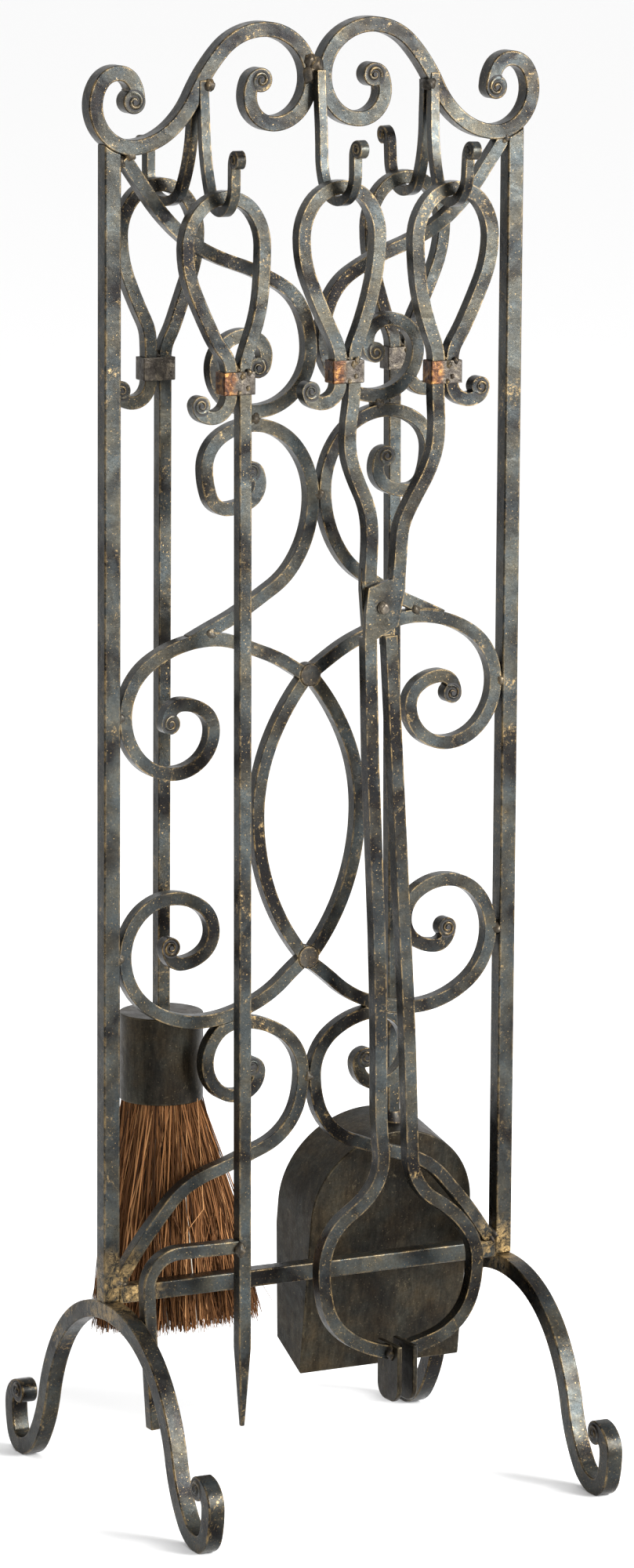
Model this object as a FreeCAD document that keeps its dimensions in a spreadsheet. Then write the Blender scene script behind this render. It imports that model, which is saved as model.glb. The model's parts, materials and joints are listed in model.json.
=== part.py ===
import FreeCAD, Part
import math
import os

# Fireplace tool set: a wrought stand with a poker, tongs, a brush and a shovel hung on its hooks.
# Millimetres.  X runs along the scrolled panel, Y goes to the rear, Z is up, the feet stand on
# Z = 0 and the origin is on the floor in the middle of the four feet.

Vector = FreeCAD.Vector
Rotation = FreeCAD.Rotation
Placement = FreeCAD.Placement
Y_AXIS = Vector(0, 1, 0)
X_AXIS = Vector(1, 0, 0)

# The scrolls are drawn on a grid for a stand of this spacing and height, and the sheet's own
# spacing and height stretch the drawing.
DRAWN_SPACING = 254.0
DRAWN_HEIGHT = 834.3

# A rolled end stands this much proud of the bar that runs into it.
EYE_PROUD = 0.1

doc = FreeCAD.newDocument("fireplace_tool_set")
sheet = doc.addObject("Spreadsheet::Sheet", "Sizes")

DIMENSIONS = [
    ("post_spacing", 254.0, "between the centres of the two posts"),
    ("stand_height", 834.3, "floor to the top of the crest"),
    ("post_stock", 10.0, "square bar of the posts, the rail and the feet"),
    ("post_top", 772.0, "top of a post before it is fitted under the crest"),
    ("rail_height", 119.0, "floor to the middle of the lower rail"),
    ("panel_back", 5.0, "how far the panel stands behind the middle of the feet"),
    ("foot_flat", 0.3, "worn off the lowest point of each foot"),
    ("crest_stock", 8.5, "square bar of the crest"),
    ("scroll_stock", 7.5, "square bar of the panel's scrolls"),
    ("weld_gap", 0.2, "left between bars that touch side by side"),
    ("boss_radius", 6.6, "forged crossing where four scrolls meet"),
    ("hook_stock", 5.5, "square bar of the hooks"),
    ("crest_eye", 6.8, "radius of the crest's rolled ends"),
    ("scroll_eye", 5.8, "radius of a scroll's rolled end"),
    ("foot_eye", 7.0, "radius of a foot's rolled ends"),
    ("hook_eye", 5.1, "radius of a hook's rolled tip"),
    ("tail_eye", 5.6, "radius of a handle's rolled tail"),
    ("hook_reach", 31.4, "panel to the middle of a hook's bend"),
    ("hook_floor", 735.4, "upper side of a hook's bend"),
    ("middle_hook_rise", 2.3, "how much higher the middle hook's bend is"),
    ("outer_hook_drop", 0.8, "how much lower the outer front hooks' bends are"),
    ("front_left_hook", 73.2, "middle to the left front hook"),
    ("front_right_hook", 71.2, "middle to the right front hook"),
    ("rear_left_hook", 77.3, "middle to the left rear hook"),
    ("rear_right_hook", 75.0, "middle to the right rear hook"),
    ("seat_gap", 1.5, "a hung loop above the hook's bend, clear of its square edges"),
    ("tool_stock", 7.6, "square bar of the tools"),
    ("tool_gap", 1.4, "between a tool's shank and its tail inside the collar"),
    ("loop_half_width", 23.8, "middle of a handle loop to the middle of its bar"),
    ("loop_height", 102.7, "middle of the collar to the middle of the loop's top bar"),
    ("collar_height", 13.0, "strap round the neck of a handle"),
    ("collar_wall", 1.6, "thickness of that strap"),
    ("poker_left", 72.4, "panel's middle to the middle of the poker's loop"),
    ("poker_neck", 7.6, "sideways lean of the poker's neck"),
    ("poker_lean", 2.5, "how far the shank leans sideways on its way down"),
    ("poker_foot", 41.5, "floor to the poker's point"),
    ("poker_taper", 46.0, "length of the poker's point"),
    ("poker_nose", 2.4, "square end of the poker's point"),
    ("barb_height", 147.0, "floor to the middle of the barb"),
    ("barb_reach", 58.0, "poker's shank to the barb's leg"),
    ("barb_bend", 19.0, "bend of the barb"),
    ("barb_foot", 47.0, "floor to the end of the barb's leg"),
    ("barb_lean", 5.0, "how far the barb's leg leans back to the shank"),
    ("brush_left", 81.6, "panel's middle to the middle of the brush's loop"),
    ("brush_neck", -1.0, "sideways lean of the brush's neck"),
    ("brush_rise", 1.5, "how much higher the brush's loop is"),
    ("ferrule_radius", 24.0, "steel cup that holds the bristles"),
    ("ferrule_height", 50.0, "height of that cup"),
    ("ferrule_foot", 222.0, "floor to the mouth of the cup"),
    ("ferrule_wall", 1.5, "thickness of the cup"),
    ("block_height", 22.0, "wooden block inside the cup"),
    ("bristle_foot", 87.0, "floor to the bristles' ends"),
    ("bristle_half_width", 52.5, "half of the flared bristles, along the panel"),
    ("bristle_half_depth", 29.0, "half of the flared bristles, to the rear"),
    ("bristle_lean", 12.0, "sideways lean of the flare"),
    ("bristle_back", 5.0, "rearward lean of the flare, off the rail"),
    ("shovel_right", 75.4, "panel's middle to the middle of the shovel's loop"),
    ("shovel_neck", 2.9, "sideways lean of the shovel's neck"),
    ("shovel_seat", 71.5, "panel's middle to the shovel's shank where it meets the pan"),
    ("pan_right", 66.5, "panel's middle to the middle of the pan"),
    ("pan_foot", 47.0, "floor to the pan's lip"),
    ("pan_rear", 34.0, "panel to the pan's lip"),
    ("pan_tilt", 8.0, "lean of the pan, lip to the rear"),
    ("pan_half_width", 52.5, "half of the pan's floor"),
    ("pan_height", 145.0, "lip to the top of the arch"),
    ("pan_arch", 50.0, "height of the arch alone"),
    ("pan_depth", 38.0, "depth of the pan's wall"),
    ("pan_flare", 2.5, "how far the wall leans out"),
    ("pan_sheet", 1.8, "sheet thickness"),
    ("tongs_left", -0.3, "panel's middle to the middle of the left loop"),
    ("tongs_right", 71.5, "panel's middle to the middle of the right loop"),
    ("left_neck", 3.8, "sideways lean of the left neck"),
    ("right_neck", 5.7, "sideways lean of the right neck"),
    ("pivot_across", 27.0, "panel's middle to the rivet"),
    ("pivot_height", 506.0, "floor to the rivet"),
    ("cheek", 3.6, "thickness of one flattened cheek at the rivet"),
    ("cheek_gap", 0.4, "between the two cheeks"),
    ("rivet_radius", 2.5, "shank of the rivet"),
    ("rivet_clearance", 0.05, "round the rivet, in each cheek"),
    ("rivet_head", 4.0, "radius of the rivet's heads"),
    ("rivet_dome", 2.2, "height of a rivet head"),
    ("washer_radius", 6.5, "washer behind the cheeks"),
    ("washer_thick", 1.2, "thickness of the washer"),
    ("claw_sheet", 3.0, "thickness of a claw"),
    ("claw_width", 25.0, "claw, front to rear"),
    ("claw_foot", 45.0, "floor to the claws' tips"),
    ("claw_top", 79.0, "floor to the claws' upper edges"),
    ("left_claw", 37.6, "panel's middle to the left claw"),
    ("right_claw", 47.6, "panel's middle to the right claw"),
]

for row, (alias, value, note) in enumerate(DIMENSIONS, start=1):
    sheet.set(f"A{row}", note)
    sheet.set(f"B{row}", str(value))
    sheet.setAlias(f"B{row}", alias)
doc.recompute()


def size(alias):
    """A driving dimension, read from the sheet."""
    return float(sheet.get(alias))


WIDE = size("post_spacing") / DRAWN_SPACING
TALL = size("stand_height") / DRAWN_HEIGHT
NODES = []


def node(item, label):
    """Give a finished sub-part its own name and put it on the list to write."""
    item.Label = label
    NODES.append(item)
    return item


# ---------------------------------------------------------------- lines of bars
# A bar's middle line is a list of stations (across, up, heading in degrees).  Two tangent arcs
# join each station to the next, so a scroll needs one station at each quarter turn.

def unit(heading):
    """Direction of a heading in degrees."""
    return math.cos(math.radians(heading)), math.sin(math.radians(heading))


def arc(start, finish):
    """The arc that leaves start along its heading and ends at finish: x, z, heading, length, turn."""
    x, z, heading = start
    run = finish[0] - x
    rise = finish[1] - z
    chord = math.hypot(run, rise)
    half = math.degrees(math.atan2(rise, run)) - heading
    half = (half + 180.0) % 360.0 - 180.0
    bend = math.radians(half)
    length = chord if abs(bend) < 1e-6 else chord * bend / math.sin(bend)
    return x, z, heading, length, 2.0 * half


def two_arcs(start, finish):
    """Two tangent arcs between two stations."""
    ahead = unit(start[2])
    behind = unit(finish[2])
    span = (finish[0] - start[0], finish[1] - start[1])
    along = span[0] * (ahead[0] + behind[0]) + span[1] * (ahead[1] + behind[1])
    square = span[0] ** 2 + span[1] ** 2
    spread = 2.0 * (1.0 - ahead[0] * behind[0] - ahead[1] * behind[1])
    if spread < 1e-9:
        reach = square / (2.0 * along)
    else:
        reach = (math.sqrt(along ** 2 + spread * square) - along) / spread
    joint_x = (start[0] + finish[0] + reach * (ahead[0] - behind[0])) / 2.0
    joint_z = (start[1] + finish[1] + reach * (ahead[1] - behind[1])) / 2.0
    first = arc(start, (joint_x, joint_z))
    second = arc((joint_x, joint_z, first[2] + first[4]), finish)
    return [first, second]


def middle_line(stations):
    """All the arcs of a bar."""
    arcs = []
    for start, finish in zip(stations, stations[1:]):
        arcs += two_arcs(start, finish)
    return arcs


def beside(one_arc, offset, share):
    """The point beside an arc of the middle line, offset to its left, at a share of its length."""
    x, z, heading, length, turn = one_arc
    half = math.radians(turn * share) / 2.0
    chord = length * share if abs(half) < 1e-9 else length * share * math.sin(half) / half
    across = unit(heading + turn * share / 2.0)
    ahead = unit(heading + turn * share)
    return Vector(x + chord * across[0] - offset * ahead[1],
                  z + chord * across[1] + offset * ahead[0], 0)


def side_edge(one_arc, offset):
    """An arc or a line that runs beside one arc of the middle line."""
    turn = math.radians(one_arc[4])
    if abs(one_arc[3]) * abs(turn) < 0.002:
        return Part.LineSegment(beside(one_arc, offset, 0.0), beside(one_arc, offset, 1.0))
    if turn * offset > 0 and one_arc[3] / abs(turn) <= abs(offset):
        raise ValueError(f"too tight a bend near {one_arc[0]:.1f}, {one_arc[1]:.1f}")
    return Part.Arc(beside(one_arc, offset, 0.0), beside(one_arc, offset, 0.5),
                    beside(one_arc, offset, 1.0))


def bar_outline(stations, width):
    """Closed outline of a bar of even width along its stations."""
    arcs = middle_line(stations)
    half = width / 2.0
    edges = [side_edge(one, half) for one in arcs]
    edges += [side_edge(one, -half) for one in arcs]
    for end, share in ((arcs[0], 0.0), (arcs[-1], 1.0)):
        edges.append(Part.LineSegment(beside(end, half, share), beside(end, -half, share)))
    return edges


def on_stand(stations):
    """Stretch a drawn line to the sheet's spacing and height."""
    return [(x * WIDE, z * TALL, heading) for x, z, heading in stations]


def flipped(stations):
    """The same line on the other side of the middle."""
    return [(-x, z, 180.0 - heading) for x, z, heading in stations]


def moved(stations, across, up=0.0):
    """The same line, shifted."""
    return [(x + across, z + up, heading) for x, z, heading in stations]


# ---------------------------------------------------------------- solids
def origin_plane(body, role):
    """One of a body's own origin planes."""
    return [plane for plane in body.Origin.OriginFeatures if plane.Role == role][0]


def padded_sketch(body, name, role, edges, thickness, side="Symmetric"):
    """A sketch on an origin plane and its pad; thickness is an expression."""
    sketch = body.newObject("Sketcher::SketchObject", name + "_sketch")
    sketch.AttachmentSupport = [(origin_plane(body, role), "")]
    sketch.MapMode = "FlatFace"
    sketch.addGeometry(edges, False)
    pad = body.newObject("PartDesign::Pad", name + "_pad")
    pad.Profile = sketch
    pad.SideType = side
    pad.setExpression("Length", thickness)
    return pad


def eye(stations, radius, width, at_end):
    """Middle of the disc that stands for a tightly rolled end, on the inside of the last turn."""
    arcs = middle_line(stations)
    nearest = arcs[-1] if at_end else arcs[0]
    x, z, heading = stations[-1] if at_end else stations[0]
    ahead = unit(heading)
    inward = radius - width / 2.0 - EYE_PROUD
    if nearest[4] < 0:
        inward = -inward
    return Vector(x - inward * ahead[1], z + inward * ahead[0], 0)


def forged_bar(name, stations, stock, role="XZ_Plane", eyes=("", ""), deep=None):
    """A bar along its stations; eyes name the radii of its rolled start and end.

    stock names its width and deep its depth, which is the same unless it is given.
    """
    deep = "Sizes." + (deep or stock)
    width = size(stock)
    body = doc.addObject("PartDesign::Body", name)
    padded_sketch(body, name, role, bar_outline(stations, width), deep)
    for at_end, alias in enumerate(eyes):
        if alias:
            middle = eye(stations, size(alias), width, bool(at_end))
            ring = Part.Circle(middle, Vector(0, 0, 1), size(alias))
            padded_sketch(body, f"{name}_eye_{at_end}", role, [ring], deep)
    return body


def polygon(points):
    """Closed outline through points."""
    corners = [Vector(x, z, 0) for x, z in points]
    return [Part.LineSegment(a, b) for a, b in zip(corners, corners[1:] + corners[:1])]


def box(name, length, width, height, corner):
    """A box; length, width and height are expressions, corner is its lowest corner."""
    item = doc.addObject("Part::Box", name)
    item.setExpression("Length", length)
    item.setExpression("Width", width)
    item.setExpression("Height", height)
    item.Placement = Placement(corner, Rotation())
    return item


def cylinder(name, radius, height, foot, turn=Rotation()):
    """A cylinder; radius and height are expressions, foot is the middle of its first face."""
    item = doc.addObject("Part::Cylinder", name)
    item.setExpression("Radius", radius)
    item.setExpression("Height", height)
    item.Placement = Placement(foot, turn)
    return item


def cut(name, base, *tools):
    """base with each tool taken away in turn."""
    for number, tool in enumerate(tools):
        item = doc.addObject("Part::Cut", f"{name}_cut_{number}")
        item.Base = base
        item.Tool = tool
        base = item
    return base


def fuse(name, *shapes):
    """Several solids made one."""
    item = doc.addObject("Part::MultiFuse", name + "_fuse")
    item.Shapes = list(shapes)
    item.Refine = True
    return item


# ---------------------------------------------------------------- the stand
HALF_SPACING = size("post_spacing") / 2.0
HALF_POST = size("post_stock") / 2.0
PANEL = size("panel_back")
TOUCH = size("scroll_stock") / 2.0 + size("weld_gap") / 2.0
CREST_TOUCH = size("crest_stock") / 2.0 + size("weld_gap") / 2.0
POST_TOUCH = HALF_SPACING - HALF_POST - TOUCH

# Right-hand half of every pair in the panel: its stations, then its rolled start and end.
CREST = (
    [
        (111.5, 792.0, 90), (123.5, 808.0, 0), (137.5, 790.5, -90), (111.0, 767.0, -188),
        (76.5, 794.0, 116), (34.0, 829.5, 180), (CREST_TOUCH, 801.5, 270), (27.0, 777.0, 360),
        (42.5, 792.5, 450), (35.5, 804.0, 540),
    ],
    ("crest_eye", "crest_eye"),
)
TOP_SCROLL = (
    [
        (120.0, 763.0, 234), (86.0, 721.0, 221), (50.5, 702.0, 198), (22.0, 689.0, 211),
        (TOUCH, 652.5, 270), (37.5, 619.0, 360), (64.0, 644.0, 450), (45.5, 662.0, 540),
        (32.0, 650.0, 630), (37.0, 641.5, 720),
    ],
    ("", "scroll_eye"),
)
HEART_SCROLL = (
    [
        (80.0, 491.0, 154), (43.5, 509.0, 148), (16.0, 530.0, 126), (TOUCH, 568.0, 90),
        (42.5, 611.0, 0), (71.0, 588.0, -90), (57.5, 564.5, -180), (37.5, 578.0, -270),
        (43.0, 587.0, -360),
    ],
    ("", "scroll_eye"),
)
SHOULDER_SCROLL = (
    [
        (0.0, 464.5, 35), (29.0, 481.5, 22), (65.5, 492.0, 0), (POST_TOUCH, 451.0, -90),
        (87.0, 417.5, -180), (63.0, 440.5, -270), (82.5, 456.5, -360), (92.0, 446.0, -450),
    ],
    ("", "scroll_eye"),
)
LENS_BAR = ([(0.0, 466.0, -48), (32.5, 386.5, -90), (0.0, 301.0, -132)], ("", ""))
HIP_SCROLL = (
    [
        (0.0, 302.5, -35), (34.5, 277.5, -24), (69.0, 269.5, 0), (POST_TOUCH, 310.5, 90),
        (88.5, 342.0, 180), (62.5, 321.0, 270), (82.5, 304.0, 360), (91.5, 314.0, 450),
    ],
    ("", "scroll_eye"),
)
BASE_SCROLL = (
    [
        (120.5, 124.5, 123), (99.0, 154.0, 131), (77.5, 175.5, 148), (46.0, 187.5, 160),
        (14.0, 204.0, 132), (TOUCH, 234.5, 90), (44.5, 268.0, 0), (65.0, 245.5, -90),
        (46.0, 225.5, -180), (32.0, 238.5, -270), (37.0, 243.5, -360),
    ],
    ("", "scroll_eye"),
)
CROSSINGS = {"upper": 465.3, "lower": 302.7}

# The stand is forged by eye: how far each bar sits from its drawn place, (across, up), left
# then right.
HAND_WORK = {
    "crest": ((0.0, -0.5), (0.0, 0.5)),
    "top_scroll": ((1.0, -2.5), (1.5, 2.5)),
    "heart_scroll": ((3.0, -2.0), (3.0, 2.0)),
    "shoulder_scroll": ((0.0, -2.5), (0.0, 2.2)),
    "lens_bar": ((-2.0, 0.0), (-2.0, 0.0)),
    "hip_scroll": ((0.0, 2.0), (-1.5, -2.0)),
    "base_scroll": ((-1.0, 1.0), (-1.0, -1.0)),
}
CROSSING_SHIFT = -2.0


def panel_bar(kind, side, drawing, stock="scroll_stock", deep=None):
    """One bar of a pair, on the right or flipped to the left."""
    stations, eyes = drawing
    stations = on_stand(stations)
    if side == "left":
        stations = flipped(stations)
    across, up = HAND_WORK[kind][side == "right"]
    stations = moved(stations, across, up)
    body = forged_bar(f"{kind}_{side}_bar", stations, stock, eyes=eyes, deep=deep)
    body.Placement = Placement(Vector(0, PANEL, 0), Rotation())
    return body


def foot(name, across):
    """Arched foot: a bar in the Y-Z plane that rolls up at the front and at the rear."""
    sole = HALF_POST - size("foot_flat")
    front = [
        (-114.0, 38.5, 180), (-125.5, 27.0, 270), (-113.0, sole, 360), (-85.0, 31.0, 427),
        (-76.0, 58.0, 427), (-49.5, 94.0, 398),
    ]
    rear = [(-x, z, -heading) for x, z, heading in reversed(front)]
    stations = front + [(0.0, 110.5, 360)] + [(x, z, heading + 720.0) for x, z, heading in rear]
    body = forged_bar(name + "_bar", stations, "post_stock", "YZ_Plane",
                      ("foot_eye", "foot_eye"))
    body.Placement = Placement(Vector(across, 0, 0), Rotation())
    depth = 2.0 * HALF_SPACING
    floor_cut = doc.addObject("Part::Box", name + "_floor")
    floor_cut.Length = depth
    floor_cut.Width = 2.0 * depth
    floor_cut.Height = depth
    floor_cut.Placement = Placement(Vector(across - HALF_SPACING, -depth, -depth), Rotation())
    return cut(name, body, floor_cut)


def crossing(name, height):
    """Short forged boss where four scrolls meet."""
    foot_point = Vector(CROSSING_SHIFT, PANEL + size("crest_stock") / 2.0, height * TALL)
    boss = cylinder(name + "_crossing", "Sizes.boss_radius", "Sizes.crest_stock", foot_point,
                    Rotation(X_AXIS, 90))
    return node(boss, name + "_crossing")


def build_posts(crests):
    """Feet, posts fitted over them and under the crest, and the rail between the posts."""
    posts = {}
    for side, across in (("left", -HALF_SPACING), ("right", HALF_SPACING)):
        arch = node(foot("foot_" + side, across), "foot_" + side)
        corner = Vector(across - HALF_POST, PANEL - HALF_POST,
                        size("rail_height") - 2.0 * HALF_POST)
        length = "Sizes.post_top - Sizes.rail_height + Sizes.post_stock"
        blank = box("post_blank_" + side, "Sizes.post_stock", "Sizes.post_stock", length, corner)
        posts[side] = node(cut("post_" + side, blank, arch, crests[side]), "post_" + side)
    corner = Vector(HALF_POST - HALF_SPACING, PANEL - HALF_POST,
                    size("rail_height") - HALF_POST)
    rail = box("lower_rail", "Sizes.post_spacing - Sizes.post_stock", "Sizes.post_stock",
               "Sizes.post_stock", corner)
    return posts, node(rail, "lower_rail")


def build_stand():
    """Crest, posts, rail, feet, the panel's scrolls and its forged crossings."""
    crests = {}
    for side in ("left", "right"):
        body = panel_bar("crest", side, CREST, "crest_stock", deep="post_stock")
        crests[side] = node(body, "crest_" + side)
    posts, rail = build_posts(crests)
    bosses = {name: crossing(name, height) for name, height in CROSSINGS.items()}
    for side in ("left", "right"):
        top = panel_bar("top_scroll", side, TOP_SCROLL)
        node(cut("top_scroll_" + side, top, posts[side], crests[side]), "top_scroll_" + side)
        shoulder = panel_bar("shoulder_scroll", side, SHOULDER_SCROLL)
        shoulder = cut("shoulder_scroll_" + side, shoulder, bosses["upper"])
        node(shoulder, "shoulder_scroll_" + side)
        heart = panel_bar("heart_scroll", side, HEART_SCROLL)
        node(cut("heart_scroll_" + side, heart, shoulder), "heart_scroll_" + side)
        lens = panel_bar("lens_bar", side, LENS_BAR)
        lens = cut("lens_bar_" + side, lens, bosses["upper"], bosses["lower"])
        node(lens, "lens_bar_" + side)
        hip = panel_bar("hip_scroll", side, HIP_SCROLL)
        hip = cut("hip_scroll_" + side, hip, bosses["lower"])
        node(hip, "hip_scroll_" + side)
        base = panel_bar("base_scroll", side, BASE_SCROLL)
        node(cut("base_scroll_" + side, base, posts[side], rail, hip), "base_scroll_" + side)
    return crests


def hook_line(start, top, rise):
    """Side view of a hook: out from the panel, down, round the bend and up to a rolled tip."""
    reach = size("hook_reach") - 0.8
    bend = size("hook_floor") + rise - size("hook_stock") / 2.0
    limb = reach + 16.5
    return [
        (start, top, -90), (start + 2.2, bend + 41.5, -85), (reach - 15.5, bend + 7.5, -62),
        (reach, bend, 0), (limb, bend + 16.0, 90), (limb, bend + 26.0, 90),
        (limb + 5.2, bend + 32.5, 0),
    ]


def build_hooks(crests):
    """Five hooks: four let in under the crest and the middle one on the front of it.

    Each is turned a little about its own bend, by twist about the vertical and by lean sideways.
    """
    half = size("hook_stock") / 2.0
    under = half + 0.1
    middle = HALF_POST + half
    drop = -size("outer_hook_drop")
    left = -size("front_left_hook")
    right = size("front_right_hook")
    rear_left = -size("rear_left_hook")
    rear_right = size("rear_right_hook")
    places = [
        ("hook_front_left", left, under, 802.0, drop, -4.0, 0.0, "left"),
        ("hook_front_middle", 0.2, middle, 806.0, size("middle_hook_rise"), 3.0, 0.0, ""),
        ("hook_front_right", right, under, 802.0, drop, 0.0, 2.5, "right"),
        ("hook_rear_left", rear_left, under, 793.0, 0.0, 8.0, 0.0, "left"),
        ("hook_rear_right", rear_right, under, 798.0, 0.0, 0.0, -2.5, "right"),
    ]
    for name, across, start, top, rise, twist, lean, side in places:
        line = hook_line(start, top, rise)
        reach = size("hook_reach")
        if "front" in name:
            line = flipped(line)
            reach = -reach
        hook = forged_bar(name + "_bar", line, "hook_stock", "YZ_Plane", ("", "hook_eye"))
        turn = Rotation(Vector(0, 0, 1), twist).multiply(Rotation(Y_AXIS, lean))
        bend = Vector(0, reach, size("hook_floor") + rise)
        spot = Vector(across, PANEL, 0) + bend - turn.multVec(bend)
        hook.Placement = Placement(spot, turn)
        if side:
            hook = cut(name, hook, crests[side])
        node(hook, name)


# ---------------------------------------------------------------- handles
FRONT = PANEL - size("hook_reach")
REAR = PANEL + size("hook_reach")
LOOP_TOP = size("hook_floor") + size("seat_gap") + size("tool_stock") / 2.0
NECK_HEIGHT = LOOP_TOP - size("loop_height")
BAR_PITCH = size("tool_stock") + size("tool_gap")


def handle(neck, rise=0.0, tail_rise=0.0):
    """Stations of a handle from its rolled tail, round the loop and down to its shank.

    The loop's middle is at across = 0, the neck's middle at across = neck, the tail is on the
    left and the shank on the right.
    """
    tail = neck - BAR_PITCH / 2.0
    shank = neck + BAR_PITCH / 2.0
    wide = size("loop_half_width")
    top = size("loop_height")
    drawn = [
        (tail - 20.0, tail_rise - 11.5, 270), (tail - 11.0, tail_rise - 18.5, 360),
        (tail, -6.5, 450),
        (tail, 6.5, 450), (-8.5 + neck / 8.0, 27.0, 477), (-wide, 75.0, 450),
        (0.0, top, 360), (wide, 75.0, 270), (11.5 + neck * 0.8, 27.0, 250), (shank, 6.5, 270),
        (shank, -7.5, 270),
    ]
    return [(x, NECK_HEIGHT + rise + z, heading) for x, z, heading in drawn]


def collar(name, across, depth, neck, bar, rise=0.0):
    """Strap round a handle's neck, fitted to its two bars."""
    wall = size("collar_wall")
    half_wide = BAR_PITCH / 2.0 + size("tool_stock") / 2.0 + wall
    half_deep = size("tool_stock") / 2.0 + wall
    corner = Vector(across + neck - half_wide, depth - half_deep,
                    NECK_HEIGHT + rise - size("collar_height") / 2.0)
    width = "2 * Sizes.tool_stock + Sizes.tool_gap + 2 * Sizes.collar_wall"
    blank = box(name + "_strap", width, "Sizes.tool_stock + 2 * Sizes.collar_wall",
                "Sizes.collar_height", corner)
    return node(cut(name, blank, bar), name)


def hung_bar(name, stations, across, depth):
    """A tool's bar, drawn about its loop and hung at its place."""
    body = forged_bar(name, stations, "tool_stock", eyes=("tail_eye", ""))
    body.Placement = Placement(Vector(across, depth, 0), Rotation())
    return body


# ---------------------------------------------------------------- the poker
def build_poker():
    """A shank with a point, and a barb that leaves it sideways and turns down."""
    across = -size("poker_left")
    neck = size("poker_neck")
    half = size("tool_stock") / 2.0
    shank = neck + BAR_PITCH / 2.0
    taper_top = size("poker_foot") + size("poker_taper")
    end = shank + size("poker_lean")
    drop = -size("outer_hook_drop")
    stations = handle(neck, drop) + [(end, taper_top, 270)]
    body = hung_bar("poker_shank", stations, across, FRONT)
    point = doc.addObject("Part::Wedge", "poker_point")
    for low, high, stock in (("Xmin", "Xmax", "tool_stock"), ("Zmin", "Zmax", "tool_stock"),
                             ("X2min", "X2max", "poker_nose"), ("Z2min", "Z2max", "poker_nose")):
        point.setExpression(low, f"-Sizes.{stock} / 2")
        point.setExpression(high, f"Sizes.{stock} / 2")
    point.Ymin = 0
    point.setExpression("Ymax", "Sizes.poker_taper")
    point.Placement = Placement(Vector(across + end, FRONT, taper_top), Rotation(X_AXIS, -90))
    bar = node(fuse("poker_bar", body, point), "poker_bar")
    collar("poker_collar", across, FRONT, neck, bar, drop)
    bend = size("barb_bend")
    leg = across + shank - size("barb_reach")
    height = size("barb_height")
    barb = forged_bar("barb_bar", [
        (across + end - half, height, 180), (leg + bend, height + 0.5, 180),
        (leg, height - bend, 272), (leg + size("barb_lean"), size("barb_foot"), 274),
    ], "tool_stock")
    barb.Placement = Placement(Vector(0, FRONT, 0), Rotation())
    node(cut("poker_barb", barb, bar), "poker_barb")


# ---------------------------------------------------------------- the tongs
def claw(name, across):
    """Flat claw, rounded at its lower end."""
    half = size("claw_width") / 2.0
    top = size("claw_top")
    foot_height = size("claw_foot")
    corner = 9.0
    body = doc.addObject("PartDesign::Body", name + "_plate")
    left = Part.ArcOfCircle(Part.Circle(Vector(corner - half, foot_height + corner, 0),
                                        Vector(0, 0, 1), corner), math.pi, 1.5 * math.pi)
    right = Part.ArcOfCircle(Part.Circle(Vector(half - corner, foot_height + corner, 0),
                                         Vector(0, 0, 1), corner), 1.5 * math.pi, 2 * math.pi)
    edges = [
        Part.LineSegment(Vector(half, foot_height + corner, 0), Vector(half, top, 0)),
        Part.LineSegment(Vector(half, top, 0), Vector(-half, top, 0)),
        Part.LineSegment(Vector(-half, top, 0), Vector(-half, foot_height + corner, 0)),
        left,
        Part.LineSegment(Vector(corner - half, foot_height, 0),
                         Vector(half - corner, foot_height, 0)),
        right,
    ]
    padded_sketch(body, name, "YZ_Plane", edges, "Sizes.claw_sheet")
    body.Placement = Placement(Vector(across, FRONT, 0), Rotation())
    return node(body, name)


def cheek(name, corners, rear):
    """Flattened middle of an arm, with the rivet's hole through it."""
    body = doc.addObject("PartDesign::Body", name)
    hole = Part.Circle(Vector(0, 0, 0), Vector(0, 0, 1),
                       size("rivet_radius") + size("rivet_clearance"))
    padded_sketch(body, name, "XZ_Plane", polygon(corners) + [hole], "Sizes.cheek")
    step = (size("cheek") + size("cheek_gap")) / 2.0
    depth = FRONT + step if rear else FRONT - step
    place = Vector(size("pivot_across"), depth, size("pivot_height"))
    body.Placement = Placement(place, Rotation())
    return body


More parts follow.
